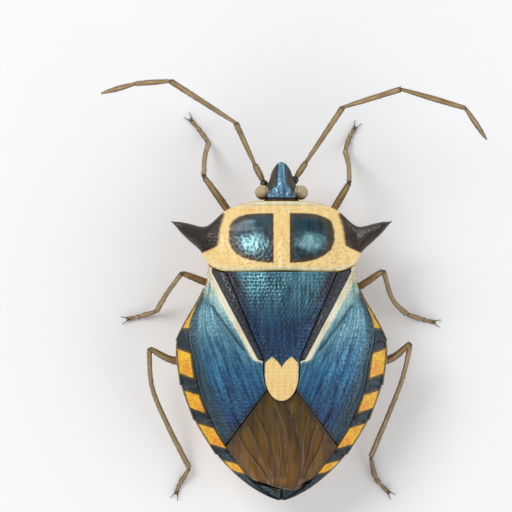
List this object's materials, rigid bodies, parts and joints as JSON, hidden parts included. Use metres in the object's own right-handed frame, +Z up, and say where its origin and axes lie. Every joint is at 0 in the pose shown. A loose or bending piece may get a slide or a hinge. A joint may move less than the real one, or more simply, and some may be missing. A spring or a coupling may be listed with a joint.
{
  "type": "shield bug",
  "caption": "Life-size still shield bug with shoulder spines and blue, orange and yellow shell, standing on flat soles, antennae raised and bent.",
  "frame": {"origin": "on the floor, under the middle of the outline seen from above", "axes": "+Z up; the head looks along -Y; the bug's left side is at +X"},
  "size_m": [0.025, 0.0274, 0.0084],
  "materials": {
    "head_shell": "metallic blue-green cuticle with dark olive side lobes, punctured, satin gloss",
    "eye": "finely faceted pale brown compound eye, glossy",
    "pronotum_shell": "pale orange cuticle with two blue-black metallic D-shaped spots and brown-black spines, fine punctures",
    "scutellum_shell": "metallic blue-green cuticle in rows of dark punctures, navy sides, pale orange tongue",
    "forewing": "blue to teal leathery forewing with a cream stripe and dark streaks, punctured",
    "membrane": "bronze-brown wing membrane with raised veins, glossy",
    "rim": "yellow and blue-black banded rim of the abdomen with a thin ochre edge",
    "underside": "ochre underside with dark metallic spots, fine punctures",
    "limb": "ochre-brown leg cuticle with pale ridges and short hairs",
    "antenna": "ochre-brown antenna with fine short hairs"
  },
  "bodies": {
    "root": {"head": "head_shell", "eye_left": "eye", "eye_right": "eye", "rostrum": "limb", "pronotum": "pronotum_shell", "scutellum": "scutellum_shell", "clavus_left": "forewing", "clavus_right": "forewing", "corium_left": "forewing", "corium_right": "forewing", "membrane_left": "membrane", "membrane_right": "membrane", "connexivum_left": "rim", "connexivum_right": "rim", "thorax": "underside", "abdomen": "underside", "fore_leg_left_coxa": "limb", "fore_leg_left_femur": "limb", "fore_leg_left_tibia": "limb", "fore_leg_left_tarsus": "limb", "fore_leg_right_coxa": "limb", "fore_leg_right_femur": "limb", "fore_leg_right_tibia": "limb", "fore_leg_right_tarsus": "limb", "mid_leg_left_coxa": "limb", "mid_leg_left_femur": "limb", "mid_leg_left_tibia": "limb", "mid_leg_left_tarsus": "limb", "mid_leg_right_coxa": "limb", "mid_leg_right_femur": "limb", "mid_leg_right_tibia": "limb", "mid_leg_right_tarsus": "limb", "hind_leg_left_coxa": "limb", "hind_leg_left_femur": "limb", "hind_leg_left_tibia": "limb", "hind_leg_left_tarsus": "limb", "hind_leg_right_coxa": "limb", "hind_leg_right_femur": "limb", "hind_leg_right_tibia": "limb", "hind_leg_right_tarsus": "limb", "antenna_left_1": "antenna", "antenna_left_2": "antenna", "antenna_left_3": "antenna", "antenna_left_4": "antenna", "antenna_left_5": "antenna", "antenna_right_1": "antenna", "antenna_right_2": "antenna", "antenna_right_3": "antenna", "antenna_right_4": "antenna", "antenna_right_5": "antenna"}
  },
  "joints": []
}
